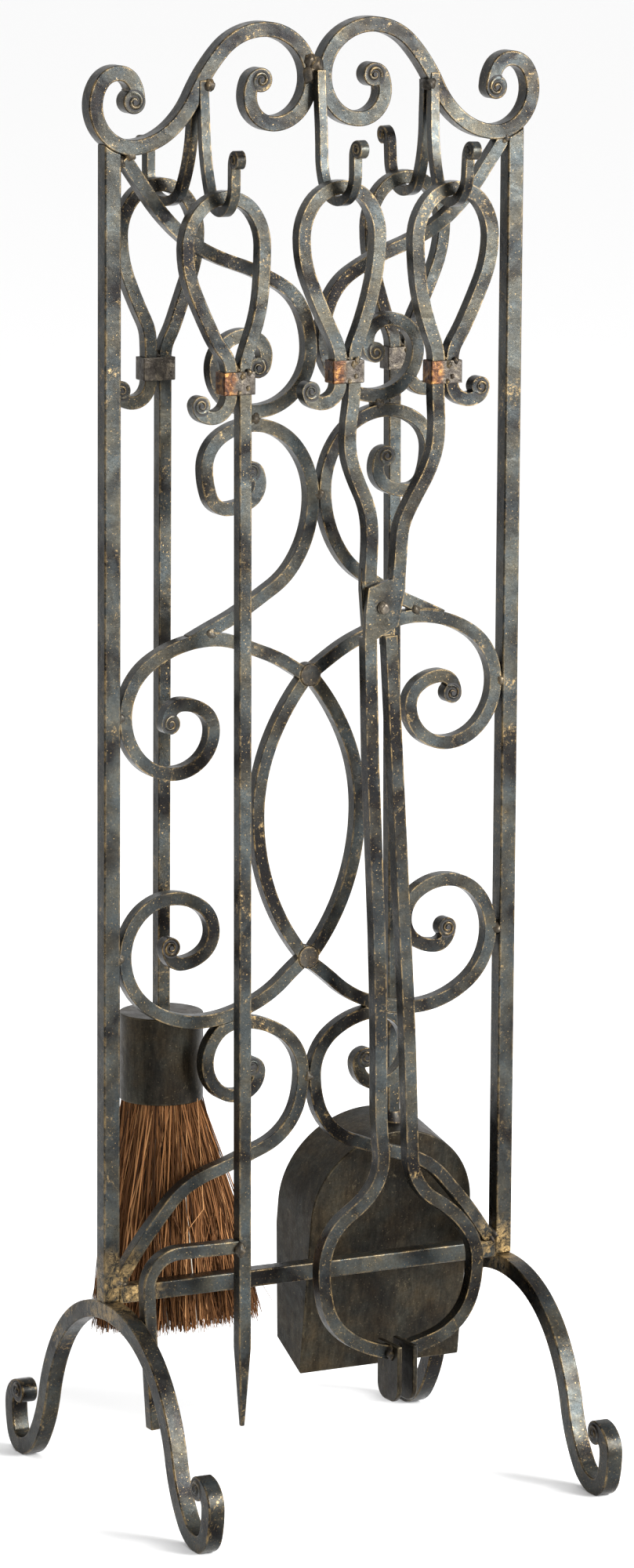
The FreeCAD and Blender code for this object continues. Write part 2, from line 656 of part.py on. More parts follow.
def build_tongs():
    """Two arms that cross at a rivet, each with a loop, a collar and a claw."""
    pivot = (size("pivot_across"), size("pivot_height"))
    left = size("tongs_left")
    right = size("tongs_right")
    left_neck = size("left_neck")
    right_neck = size("right_neck")

    # Front arm: right-hand handle, front cheek, left-hand half of the jaw.
    drop = -size("outer_hook_drop")
    upper = flipped(handle(right_neck, drop, 2.0)) + [
        (62.0 - right, 603.0, -92), (52.0 - right, 574.0, -123), (38.8 - right, 543.0, -92),
        (37.5 - right, 520.8, -92),
    ]
    handle_body = hung_bar("front_handle", upper, right, FRONT)
    corners = [(-9.0, 11.8), (6.4, 16.0), (6.9, 22.5), (14.3, 22.5), (14.3, 10.0),
               (10.0, -11.0), (-3.6, -17.6), (-3.5, -22.0), (-11.2, -22.0), (-10.6, -2.0)]
    front_cheek = cheek("front_cheek", corners, rear=False)
    jaw = forged_bar("front_jaw", [
        (19.6, 489.5, -89), (28.6, 223.0, -90), (22.5, 167.5, -132), (8.5, 156.5, -147),
        (-7.2, 126.0, -90), (5.5, 88.5, -42), (left_claw_face(), 73.9, -13),
    ], "tool_stock")
    jaw.Placement = Placement(Vector(0, FRONT, 0), Rotation())
    left_plate = claw("tongs_claw_left", size("left_claw"))
    forged = fuse("front_arm", handle_body, front_cheek, jaw)
    front_arm = node(cut("tongs_arm_front", forged, left_plate), "tongs_arm_front")
    flipped_collar = right - right_neck
    collar("tongs_collar_right", flipped_collar, FRONT, 0.0, front_arm, drop)

    # Rear arm: left-hand handle, rear cheek, right-hand half of the jaw.
    rise = size("middle_hook_rise")
    upper = handle(left_neck, rise, 1.5) + [
        (5.4 - left, 601.0, -90), (14.6 - left, 571.0, -63), (20.0 - left, 547.0, -90),
        (19.0 - left, 520.8, -92),
    ]
    handle_body = hung_bar("rear_handle", upper, left, FRONT)
    corners = [(9.0, 11.8), (-4.3, 16.0), (-4.2, 22.5), (-11.8, 22.5), (-11.8, 10.0),
               (-10.0, -11.0), (1.8, -17.6), (1.9, -22.0), (9.6, -22.0), (10.4, -2.0)]
    rear_cheek = cheek("rear_cheek", corners, rear=True)
    jaw = forged_bar("rear_jaw", [
        (32.7, 489.5, -87), (48.8, 209.0, -88), (57.0, 167.5, -50), (72.0, 156.0, -37),
        (92.6, 122.0, -90), (78.0, 85.5, -142), (right_claw_face(), 74.8, -168),
    ], "tool_stock")
    jaw.Placement = Placement(Vector(0, FRONT, 0), Rotation())
    right_plate = claw("tongs_claw_right", size("right_claw"))
    forged = fuse("rear_arm", handle_body, rear_cheek, jaw)
    rear_arm = node(cut("tongs_arm_rear", forged, right_plate), "tongs_arm_rear")
    collar("tongs_collar_left", left, FRONT, left_neck, rear_arm, rise)
    build_rivet(pivot)


def left_claw_face():
    """Outer face of the left claw."""
    return size("left_claw") - size("claw_sheet") / 2.0


def right_claw_face():
    """Outer face of the right claw."""
    return size("right_claw") + size("claw_sheet") / 2.0


def build_rivet(pivot):
    """Rivet with two domed heads, and the washer behind the cheeks."""
    seat = 0.3
    cheeks = size("cheek") + size("cheek_gap") / 2.0
    front_face = FRONT - cheeks - seat
    rear_face = FRONT + cheeks + seat
    washer_back = rear_face + size("washer_thick")
    along = Rotation(X_AXIS, -90)
    shank = doc.addObject("Part::Cylinder", "rivet_shank")
    shank.setExpression("Radius", "Sizes.rivet_radius")
    shank.Height = washer_back - front_face
    shank.Placement = Placement(Vector(pivot[0], front_face, pivot[1]), along)
    heads = []
    for name, face, turn in (("front", front_face, 90), ("rear", washer_back, -90)):
        head = doc.addObject("Part::Cone", f"rivet_head_{name}")
        head.setExpression("Radius1", "Sizes.rivet_head")
        head.setExpression("Radius2", "Sizes.rivet_head * 0.62")
        head.setExpression("Height", "Sizes.rivet_dome")
        head.Placement = Placement(Vector(pivot[0], face, pivot[1]), Rotation(X_AXIS, turn))
        heads.append(head)
    rivet = node(fuse("tongs_rivet", shank, *heads), "tongs_rivet")
    disc = cylinder("washer_disc", "Sizes.washer_radius", "Sizes.washer_thick",
                    Vector(pivot[0], rear_face, pivot[1]), along)
    node(cut("tongs_washer", disc, rivet), "tongs_washer")


# ---------------------------------------------------------------- the brush
def flat_sketch(name, edges, place):
    """A free sketch for a loft."""
    sketch = doc.addObject("Sketcher::SketchObject", name)
    sketch.addGeometry(edges, False)
    sketch.Placement = place
    return sketch


def loft(name, sections):
    """A ruled solid through sections."""
    item = doc.addObject("Part::Loft", name)
    item.Sections = sections
    item.Solid = True
    item.Ruled = True
    return item


def build_brush():
    """Shank, collar, steel cup, wooden block and flared bristles."""
    across = -size("brush_left")
    neck = size("brush_neck")
    rise = size("brush_rise")
    shank = neck + BAR_PITCH / 2.0
    cup_foot = size("ferrule_foot")
    cup_top = cup_foot + size("ferrule_height")
    stations = handle(neck, rise) + [(shank, cup_top, 270)]
    body = node(hung_bar("brush_bar", stations, across, REAR), "brush_bar")
    collar("brush_collar", across, REAR, neck, body, rise)
    axis = across + shank
    outer = cylinder("cup_outside", "Sizes.ferrule_radius", "Sizes.ferrule_height",
                     Vector(axis, REAR, cup_foot))
    inner = cylinder("cup_inside", "Sizes.ferrule_radius - Sizes.ferrule_wall",
                     "Sizes.ferrule_height - Sizes.ferrule_wall", Vector(axis, REAR, cup_foot))
    node(cut("brush_ferrule", outer, inner), "brush_ferrule")
    block_foot = cup_top - size("ferrule_wall") - size("block_height")
    block = cylinder("brush_block", "Sizes.ferrule_radius - Sizes.ferrule_wall",
                     "Sizes.block_height", Vector(axis, REAR, block_foot))
    node(block, "brush_block")
    tuft = Part.Circle(Vector(0, 0, 0), Vector(0, 0, 1),
                       size("ferrule_radius") - size("ferrule_wall"))
    flare = Part.Ellipse(Vector(0, 0, 0), size("bristle_half_width"), size("bristle_half_depth"))
    ends = Vector(axis + size("bristle_lean"), REAR + size("bristle_back"), size("bristle_foot"))
    sections = [
        flat_sketch("bristle_root", [tuft], Placement(Vector(axis, REAR, block_foot), Rotation())),
        flat_sketch("bristle_mouth", [tuft], Placement(Vector(axis, REAR, cup_foot), Rotation())),
        flat_sketch("bristle_ends", [flare], Placement(ends, Rotation())),
    ]
    node(loft("brush_bristles", sections), "brush_bristles")


# ---------------------------------------------------------------- the shovel
def pan_outline(half_width, foot_height, spring, arch):
    """Straight sides under a half-ellipse."""
    crown = Part.Ellipse(Vector(0, spring, 0), half_width, arch)
    return [
        Part.ArcOfEllipse(crown, 0, math.pi),
        Part.LineSegment(Vector(-half_width, spring, 0), Vector(-half_width, foot_height, 0)),
        Part.LineSegment(Vector(-half_width, foot_height, 0), Vector(half_width, foot_height, 0)),
        Part.LineSegment(Vector(half_width, foot_height, 0), Vector(half_width, spring, 0)),
    ]


def build_shovel():
    """Shank, collar and an arched sheet pan with a flared wall, open behind and below."""
    across = size("shovel_right")
    half_width = size("pan_half_width")
    flare = size("pan_flare")
    depth = size("pan_depth")
    sheet_metal = size("pan_sheet")
    arch = size("pan_arch")
    spring = size("pan_height") - arch
    lip = Vector(size("pan_right"), PANEL + size("pan_rear"), size("pan_foot"))
    tilt = Rotation(X_AXIS, size("pan_tilt"))
    upright = Rotation(X_AXIS, 90)

    def section(name, edges, back):
        place = Placement(lip, tilt).multiply(Placement(Vector(0, back, 0), upright))
        return flat_sketch(name, edges, place)

    outside = loft("pan_outside", [
        section("pan_floor", pan_outline(half_width, 0.0, spring, arch), 0.0),
        section("pan_rim", pan_outline(half_width + flare, 0.0, spring, arch + flare), depth),
    ])
    below = -2.0 * sheet_metal
    lean = flare / depth
    clear = sheet_metal + 1.0
    inner_floor = half_width - sheet_metal + lean * sheet_metal
    inner_rim = half_width - sheet_metal + lean * (depth + clear)
    inside = loft("pan_inside", [
        section("pan_inner_floor", pan_outline(inner_floor, below, spring,
                arch - sheet_metal + lean * sheet_metal), sheet_metal),
        section("pan_inner_rim", pan_outline(inner_rim, below, spring,
                arch - sheet_metal + lean * (depth + clear)), depth + clear),
    ])
    trimmer = doc.addObject("PartDesign::Body", "pan_trim")
    corners = [(0.0, 0.0), (depth - 10.0, 13.0), (depth, spring - 14.0), (depth + 20.0, spring),
               (depth + 20.0, -20.0), (0.0, -20.0)]
    padded_sketch(trimmer, "pan_trim", "YZ_Plane", polygon(corners), "4 * Sizes.pan_half_width")
    trimmer.Placement = Placement(lip, tilt)
    pan = node(cut("shovel_pan", outside, inside, trimmer), "shovel_pan")

    neck = size("shovel_neck")
    seat = size("shovel_seat") - across
    stations = flipped(handle(neck)) + [(seat, 240.0, -90), (seat, 180.0, -90)]
    body = hung_bar("shovel_shank", stations, across, REAR)
    bar = node(cut("shovel_bar", body, outside), "shovel_bar")
    collar("shovel_collar", across - neck, REAR, 0.0, bar)
    bead = doc.addObject("Part::Cone", "shovel_bead")
    bead.Radius1 = 8.6
    bead.Radius2 = 5.4
    bead.Height = 12.0
    bead.Placement = Placement(Vector(across + seat, REAR, 187.0), Rotation())
    node(cut("shovel_weld", bead, outside, bar), "shovel_weld")
    return pan


def check_and_write():
    """Stop on anything that failed, then write one STEP file for each sub-part."""
    doc.recompute()
    failed = []
    for item in doc.Objects:
        if "Invalid" in item.State or "Error" in item.State:
            failed.append(item.Name)
    for item in NODES:
        shape = item.Shape
        if shape.isNull() or not shape.isValid() or len(shape.Solids) != 1:
            failed.append(item.Label)
    if failed:
        raise RuntimeError("not sound: " + ", ".join(failed))
    os.makedirs("parts", exist_ok=True)
    for item in NODES:
        item.Shape.exportStep(os.path.join("parts", item.Label + ".step"))
        bounds = item.Shape.BoundBox
        print(f"{item.Label:24s} {item.Shape.Volume / 1000.0:9.3f} cm3  "
              f"x {bounds.XMin:7.1f} {bounds.XMax:7.1f}  y {bounds.YMin:7.1f} {bounds.YMax:7.1f}  "
              f"z {bounds.ZMin:7.1f} {bounds.ZMax:7.1f}")
    print(len(NODES), "sub-parts")


build_hooks(build_stand())
build_poker()
build_tongs()
build_brush()
build_shovel()
check_and_write()
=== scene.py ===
import json
import math
import random

import bmesh
import bpy
from mathutils import Matrix, Vector, noise
from mathutils.bvhtree import BVHTree


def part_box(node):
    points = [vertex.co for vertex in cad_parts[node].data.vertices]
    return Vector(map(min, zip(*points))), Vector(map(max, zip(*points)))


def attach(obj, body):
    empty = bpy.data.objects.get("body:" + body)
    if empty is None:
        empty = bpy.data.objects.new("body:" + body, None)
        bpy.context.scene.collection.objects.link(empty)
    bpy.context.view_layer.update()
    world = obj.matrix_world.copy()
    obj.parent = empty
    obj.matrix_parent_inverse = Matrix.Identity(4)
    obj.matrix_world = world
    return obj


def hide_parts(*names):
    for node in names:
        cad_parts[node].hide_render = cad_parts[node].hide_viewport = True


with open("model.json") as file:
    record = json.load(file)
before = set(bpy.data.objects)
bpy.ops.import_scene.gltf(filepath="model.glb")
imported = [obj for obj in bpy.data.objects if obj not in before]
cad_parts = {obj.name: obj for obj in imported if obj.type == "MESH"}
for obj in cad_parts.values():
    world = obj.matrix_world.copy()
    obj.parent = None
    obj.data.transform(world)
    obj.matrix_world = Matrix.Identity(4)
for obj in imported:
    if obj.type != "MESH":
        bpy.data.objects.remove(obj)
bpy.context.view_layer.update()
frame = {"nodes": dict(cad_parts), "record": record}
nodes = frame["nodes"]

MM = 0.001


# ---------------------------------------------------------------- camera
CAMERA_PLACE = (-1.8033, -3.3837, 1.0996)
CAMERA_YAW, CAMERA_PITCH, CAMERA_ROLL = 28.08, 10.30, -0.376
LENS, SENSOR = 158.245, 36.0
CLIP_END = 50.0


def make_camera():
    """A long lens to the left of the set and a little above it."""
    yaw = math.radians(CAMERA_YAW)
    pitch = math.radians(CAMERA_PITCH)
    roll = math.radians(CAMERA_ROLL)
    ahead = Vector((math.sin(yaw) * math.cos(pitch), math.cos(yaw) * math.cos(pitch),
                    -math.sin(pitch)))
    level = Vector((math.cos(yaw), -math.sin(yaw), 0.0))
    down = ahead.cross(level)
    right = math.cos(roll) * level + math.sin(roll) * down
    up = math.sin(roll) * level - math.cos(roll) * down
    data = bpy.data.cameras.new("camera")
    data.lens = LENS
    data.sensor_width = SENSOR
    data.clip_end = CLIP_END
    camera = bpy.data.objects.new("camera", data)
    bpy.context.scene.collection.objects.link(camera)
    turn = Matrix((right, up, -ahead)).transposed().to_4x4()
    camera.matrix_world = Matrix.Translation(CAMERA_PLACE) @ turn
    bpy.context.scene.camera = camera


# ---------------------------------------------------------------- floor and light
FLOOR_REACH = 30.0
FLOOR_COLOUR = (0.93, 0.93, 0.93, 1)
FLOOR_ROUGH = 0.9
SKY_COLOUR = (1.0, 1.0, 1.0, 1)
SKY_STRENGTH = 1.02
LIGHT_AIM = (0, 0, 0.50)
# Each panel's name, place, width in metres and power in watts.
PANELS = [
    ("key", (1.6, -2.3, 1.25), 1.4, 210.0),
    ("top", (0.6, -0.5, 2.8), 1.2, 12.0),
]


def make_studio():
    """A plain pale floor, soft panels of light and a pale sky."""
    mesh = bpy.data.meshes.new("floor")
    reach = FLOOR_REACH
    corners = [(-reach, -reach, 0), (reach, -reach, 0), (reach, reach, 0), (-reach, reach, 0)]
    mesh.from_pydata(corners, [], [(0, 1, 2, 3)])
    floor = bpy.data.objects.new("floor", mesh)
    bpy.context.scene.collection.objects.link(floor)
    paint = bpy.data.materials.new("floor_paint")
    paint.use_nodes = True
    shader = paint.node_tree.nodes["Principled BSDF"]
    shader.inputs["Base Color"].default_value = FLOOR_COLOUR
    shader.inputs["Roughness"].default_value = FLOOR_ROUGH
    mesh.materials.append(paint)

    world = bpy.data.worlds.new("studio")
    world.use_nodes = True
    sky = world.node_tree.nodes["Background"]
    sky.inputs["Color"].default_value = SKY_COLOUR
    sky.inputs["Strength"].default_value = SKY_STRENGTH
    bpy.context.scene.world = world
    bpy.context.scene.view_settings.view_transform = "Standard"

    for name, place, width, power in PANELS:
        light = bpy.data.lights.new(name, "AREA")
        light.size = width
        light.energy = power
        lamp = bpy.data.objects.new(name, light)
        lamp.location = place
        aim = Vector(LIGHT_AIM) - lamp.location
        lamp.rotation_euler = aim.to_track_quat("-Z", "Y").to_euler()
        bpy.context.scene.collection.objects.link(lamp)


# ---------------------------------------------------------------- materials
class Nodes:
    """A material's node tree, built one node at a time."""

    def __init__(self, name):
        self.material = bpy.data.materials.new(name)
        self.material.use_nodes = True
        self.tree = self.material.node_tree
        self.shader = self.tree.nodes["Principled BSDF"]
        coordinates = self.tree.nodes.new("ShaderNodeTexCoord")
        self.place = coordinates.outputs["Object"]
        self.whole = coordinates.outputs["Generated"]

    def link(self, source, target):
        self.tree.links.new(source, target)

    def noise(self, scale, detail=4.0, rough=0.55, distort=0.0, source=None):
        """Noise in object space; scale is in cells per metre."""
        made = self.tree.nodes.new("ShaderNodeTexNoise")
        made.inputs["Scale"].default_value = scale
        made.inputs["Detail"].default_value = detail
        made.inputs["Roughness"].default_value = rough
        made.inputs["Distortion"].default_value = distort
        self.link(source or self.place, made.inputs["Vector"])
        return made.outputs["Fac"]

    def distance(self, place):
        """Distance in metres from a place in object space."""
        made = self.tree.nodes.new("ShaderNodeVectorMath")
        made.operation = "DISTANCE"
        self.link(self.place, made.inputs[0])
        made.inputs[1].default_value = place
        return made.outputs["Value"]

    def stretch(self, x, y, z):
        """Object space squeezed along the axes, for streaks."""
        made = self.tree.nodes.new("ShaderNodeMapping")
        made.inputs["Scale"].default_value = (x, y, z)
        self.link(self.place, made.inputs["Vector"])
        return made.outputs["Vector"]

    def ramp(self, source, stops):
        """Colour ramp; stops are (position, (r, g, b)) or (position, grey)."""
        made = self.tree.nodes.new("ShaderNodeValToRGB")
        ramp = made.color_ramp
        while len(ramp.elements) < len(stops):
            ramp.elements.new(0.5)
        for element, (position, colour) in zip(ramp.elements, stops):
            if not isinstance(colour, tuple):
                colour = (colour, colour, colour)
            element.position = position
            element.color = (*colour, 1.0)
        self.link(source, made.inputs["Fac"])
        return made.outputs["Color"]

    def mix(self, amount, first, second, mode="MIX"):
        """Blend of two colours; amount is a socket or a number."""
        made = self.tree.nodes.new("ShaderNodeMix")
        made.data_type = "RGBA"
        made.blend_type = mode
        for socket, value in ((made.inputs[0], amount), (made.inputs[6], first),
                              (made.inputs[7], second)):
            if isinstance(value, (int, float)):
                socket.default_value = value
            elif isinstance(value, tuple):
                socket.default_value = (*value, 1.0)
            else:
                self.link(value, socket)
        return made.outputs[2]

    def maths(self, operation, first, second):
        """One arithmetic step; each side is a socket or a number."""
        made = self.tree.nodes.new("ShaderNodeMath")
        made.operation = operation
        for socket, value in zip(made.inputs, (first, second)):
            if isinstance(value, (int, float)):
                socket.default_value = value
            else:
                self.link(value, socket)
        return made.outputs[0]

    def bump(self, height, distance, strength=1.0, under=None):
        """Surface relief; distance is in metres."""
        made = self.tree.nodes.new("ShaderNodeBump")
        made.inputs["Strength"].default_value = strength
        made.inputs["Distance"].default_value = distance
        self.link(height, made.inputs["Height"])
        if under is not None:
            self.link(under, made.inputs["Normal"])
        return made.outputs["Normal"]

    def edges(self, reach, low, high):
        """Mask of the rubbed edges: where a rounded normal leaves the flat one."""
        rounded = self.tree.nodes.new("ShaderNodeBevel")
        rounded.samples = 4
        rounded.inputs["Radius"].default_value = reach
        geometry = self.tree.nodes.new("ShaderNodeNewGeometry")
        made = self.tree.nodes.new("ShaderNodeVectorMath")
        made.operation = "DISTANCE"
        self.link(rounded.outputs["Normal"], made.inputs[0])
        self.link(geometry.outputs["Normal"], made.inputs[1])
        return self.ramp(made.outputs["Value"], [(low, 0.0), (high, 1.0)])


def forged_steel(name, dark, pale, gold, share, rough, hot=(), brushed=False):
    """Forge-black steel: soft dark smudges over blue-grey, gold flecks and rubbed edges.

    share is how much gold shows; hot lists the (place, reach) of spots with a thick gold crust.
    """
    made = Nodes(name)
    clouds = made.ramp(made.noise(24.0, 4.0, 0.55, 0.6), [(0.38, dark), (0.62, pale)])
    warmth = made.ramp(made.noise(55.0, 4.0, 0.6),
                       [(0.38, (0.90, 1.0, 1.08)), (0.64, (1.14, 1.0, 0.80))])
    steel = made.mix(1.0, clouds, warmth, "MULTIPLY")
    grain = made.ramp(made.noise(700.0, 5.0, 0.8), [(0.36, 0.62), (0.64, 1.34)])
    steel = made.mix(0.8, steel, grain, "MULTIPLY")
    if brushed:
        strokes = made.noise(70.0, 5.0, 0.7, 0.4, made.stretch(5, 5, 1))
        steel = made.mix(0.9, steel, made.ramp(strokes, [(0.36, 0.62), (0.66, 1.55)]), "MULTIPLY")
    patches = made.ramp(made.noise(42.0, 5.0, 0.70, 1.6),
                        [(0.62 - share, 0.0), (0.74 - share, 0.8)])
    crumbs = made.ramp(made.noise(460.0, 5.0, 0.8), [(0.50, 0.0), (0.62, 0.9)])
    flecks = made.ramp(made.noise(900.0, 2.0, 0.6),
                       [(0.68 - share / 2, 0.0), (0.74 - share / 2, 0.55)])
    worn = made.maths("MULTIPLY", made.edges(1.4 * MM, 0.06, 0.30),
                      made.ramp(made.noise(120.0, 6.0, 0.80), [(0.46, 0.0), (0.64, 0.55)]))
    shine = made.maths("MAXIMUM", made.maths("MULTIPLY", patches, crumbs),
                       made.maths("MAXIMUM", flecks, worn))
    crust = None
    for place, reach in hot:
        away = made.distance(place)
        near = made.ramp(away, [(reach * 0.35, 1.0), (reach, 0.0)])
        crust = near if crust is None else made.maths("MAXIMUM", crust, near)
    if crust is not None:
        flakes = made.ramp(made.noise(210.0, 6.0, 0.80, 0.8), [(0.44, 0.0), (0.60, 0.75)])
        crust = made.maths("MULTIPLY", crust, flakes)
        shine = made.maths("MAXIMUM", shine, crust)
    colour = made.mix(shine, steel, gold)
    made.link(colour, made.shader.inputs["Base Color"])
    gloss = made.ramp(made.noise(150.0, 5.0, 0.65), [(0.3, rough - 0.10), (0.7, rough + 0.12)])
    made.link(gloss, made.shader.inputs["Roughness"])
    made.shader.inputs["Metallic"].default_value = 0.75
    made.shader.inputs["Specular IOR Level"].default_value = 0.25
    hammer = made.bump(made.noise(75.0, 2.0, 0.5, 0.5), 1.0 * MM, 0.45)
    pits = made.bump(made.noise(600.0, 6.0, 0.75), 0.22 * MM, 0.5, hammer)
    if crust is not None:
        pits = made.bump(crust, 0.5 * MM, 0.8, pits)
    made.link(pits, made.shader.inputs["Normal"])
    return made.material


def strap_steel(name, first, last):
    """A collar's strap: copper heat tint up to a share of its width, grey steel from there."""
    made = Nodes(name)
    split = made.tree.nodes.new("ShaderNodeSeparateXYZ")
    made.link(made.whole, split.inputs["Vector"])
    ragged = made.maths("ADD", split.outputs["X"],
                        made.maths("MULTIPLY", made.noise(160.0, 3.0, 0.6), 0.35))
    share = made.ramp(ragged, [(first, 0.0), (last, 1.0)])
    copper = made.ramp(made.noise(210.0, 4.0, 0.65, 1.0), [
        (0.36, (0.012, 0.005, 0.003)), (0.50, (0.060, 0.024, 0.009)), (0.66, (0.21, 0.105, 0.030))])
    grey = made.ramp(made.noise(190.0, 5.0, 0.7, 0.8), [
        (0.34, (0.014, 0.011, 0.009)), (0.55, (0.045, 0.038, 0.030)), (0.74, (0.13, 0.105, 0.070))])
    made.link(made.mix(share, copper, grey), made.shader.inputs["Base Color"])
    made.shader.inputs["Metallic"].default_value = 0.8
    gloss = made.ramp(made.noise(240.0, 4.0, 0.6), [(0.3, 0.30), (0.7, 0.50)])
    made.link(gloss, made.shader.inputs["Roughness"])
    dents = made.bump(made.noise(170.0, 4.0, 0.6, 0.6), 0.9 * MM, 0.7)
    made.link(made.bump(made.noise(700.0, 5.0, 0.7), 0.25 * MM, 0.5, dents),
              made.shader.inputs["Normal"])
    return made.material


def plain_dark(name, colour, rough):
    """Painted shade: near-black steel colour laid over a coil's gaps and hollow middle, where shade
    falls.
    """
    made = Nodes(name)
    grain = made.ramp(made.noise(500.0, 3.0, 0.6), [(0.3, 0.6), (0.7, 1.3)])
    made.link(made.mix(0.6, colour, grain, "MULTIPLY"), made.shader.inputs["Base Color"])
    made.shader.inputs["Roughness"].default_value = rough
    made.shader.inputs["Metallic"].default_value = 0.2
    return made.material


def bristle_fibre():
    """Red-brown plant fibre, a little different from strand to strand."""
    made = Nodes("bristle_fibre")
    strand = made.tree.nodes.new("ShaderNodeAttribute")
    strand.attribute_name = "strand"
    colour = made.ramp(strand.outputs["Fac"], [
        (0.0, (0.024, 0.010, 0.004)), (0.35, (0.115, 0.048, 0.017)),
        (0.80, (0.29, 0.130, 0.048)), (0.97, (0.50, 0.26, 0.11)), (1.0, (0.44, 0.41, 0.35)),
    ])
    grain = made.ramp(made.noise(60.0, 3.0, 0.6, 0.0, made.stretch(8, 8, 1)),
                      [(0.3, 0.70), (0.7, 1.25)])
    made.link(made.mix(0.7, colour, grain, "MULTIPLY"), made.shader.inputs["Base Color"])
    made.shader.inputs["Roughness"].default_value = 0.8
    made.shader.inputs["Specular IOR Level"].default_value = 0.15
    return made.material


def block_wood():
    """Turned wood, hidden in the cup."""
    made = Nodes("block_wood")
    grain = made.noise(40.0, 6.0, 0.6, 0.8, made.stretch(6, 6, 1))
    colour = made.ramp(grain, [(0.35, (0.16, 0.09, 0.05)), (0.65, (0.33, 0.21, 0.12))])
    made.link(colour, made.shader.inputs["Base Color"])
    made.shader.inputs["Roughness"].default_value = 0.6
    made.link(made.bump(grain, 0.3 * MM), made.shader.inputs["Normal"])
    return made.material


rail_low, rail_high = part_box("lower_rail")
rail_mid = (rail_low + rail_high) / 2
CORNERS = [((rail_low.x, rail_low.y, rail_mid.z), 0.030),
           ((rail_high.x, rail_low.y, rail_mid.z), 0.022)]
GOLD = (0.40, 0.27, 0.115)
STEEL = forged_steel("wrought_steel", (0.0045, 0.0040, 0.0040), (0.037, 0.0385, 0.0355),
                     GOLD, 0.04, 0.32, CORNERS)
COPPERY = strap_steel("collar_steel", 0.44, 0.62)
BROWN = strap_steel("collar_brown", 0.02, 0.10)
SHEET = forged_steel("sheet_steel", (0.010, 0.0083, 0.006), (0.027, 0.0225, 0.0155),
                     (0.15, 0.12, 0.07), 0.02, 0.42, brushed=True)
RIVET = forged_steel("rivet_steel", (0.040, 0.036, 0.034), (0.12, 0.115, 0.105),
                     (0.40, 0.33, 0.24), 0.02, 0.36)
WELD = forged_steel("weld_steel", (0.012, 0.010, 0.009), (0.050, 0.045, 0.038), GOLD, 0.03, 0.44)
# near-black painted shade for the gaps and hollow middles of the coils
COIL_SHADE = plain_dark("painted_coil_shade", (0.008, 0.007, 0.007), 0.7)
FIBRE = bristle_fibre()
WOOD = block_wood()
BY_SLOT = {"wrought_steel": STEEL, "collar_steel": COPPERY, "sheet_steel": SHEET,
           "rivet_steel": RIVET, "weld_steel": WELD, "block_wood": WOOD,
           "bristle_fibre": FIBRE}


# ---------------------------------------------------------------- CAD pieces
def dress_frame():
    """Rounded edges and a real material on every CAD node."""
    for part in frame["record"]["subparts"]:
        piece = nodes[part["node"]]
        piece.data.materials.clear()
        paint = BY_SLOT[part["material_slot"]]
        if part["node"] in ("brush_collar", "shovel_collar"):
            paint = BROWN
        piece.data.materials.append(paint)
        for polygon in piece.data.polygons:
            polygon.use_smooth = True
        weld = piece.modifiers.new("weld", "WELD")
        weld.merge_threshold = 0.01 * MM
        flat = piece.modifiers.new("flat", "DECIMATE")
        flat.decimate_type = "DISSOLVE"
        flat.angle_limit = math.radians(0.6)
        round_off = piece.modifiers.new("round", "BEVEL")
        round_off.width = 0.9 * MM
        round_off.segments = 3
        round_off.limit_method = "ANGLE"
        round_off.angle_limit = math.radians(40)
        round_off.use_clamp_overlap = True
        even = piece.modifiers.new("even", "WEIGHTED_NORMAL")
        even.keep_sharp = False


# ---------------------------------------------------------------- added pieces
def add_piece(name, points, faces, body, material, smooth=True):
    """A mesh that rides on a CAD body and takes the material it is given."""
    mesh = bpy.data.meshes.new(name)
    mesh.from_pydata(points, [], faces)
    mesh.update()
    if smooth:
        for face in mesh.polygons:
            face.use_smooth = True
    mesh.materials.append(material)
    piece = bpy.data.objects.new(name, mesh)
    bpy.context.scene.collection.objects.link(piece)
    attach(piece, body)
    return piece


BODY_OF = {name: body for body, members in frame["record"]["behaviour"]["bodies"].items()
           for name in members}


# ---------------------------------------------------------------- coiled ends
EYE_RADII = {"crest": 6.8, "foot": 7.0, "hook": 5.1, "scroll": 5.8, "tail": 5.6}
CELL = 0.7 * MM
PROUD = 0.03 * MM
COIL_TURNS, COIL_STEPS = 1.55, 54
COIL_INNER = 1.9 * MM
COIL_START = math.radians(-55)
# the dot is a disc of painted shade over a coil's hollow middle
DOT_SIDES = 14
DOT_RADIUS = 1.25 * MM
DOT_LIFT = 0.83 * MM
SCROLLS = ("top", "heart", "shoulder", "hip", "base")


def side_axis(mesh, guess):
    """The mean direction of a bar's flat sides, close to the guess."""
    total = Vector()
    for face in mesh.polygons:
        along = face.normal.dot(guess)
        if abs(along) > 0.9:
            total += face.normal * face.area * math.copysign(1, along)
    return total.normalized()


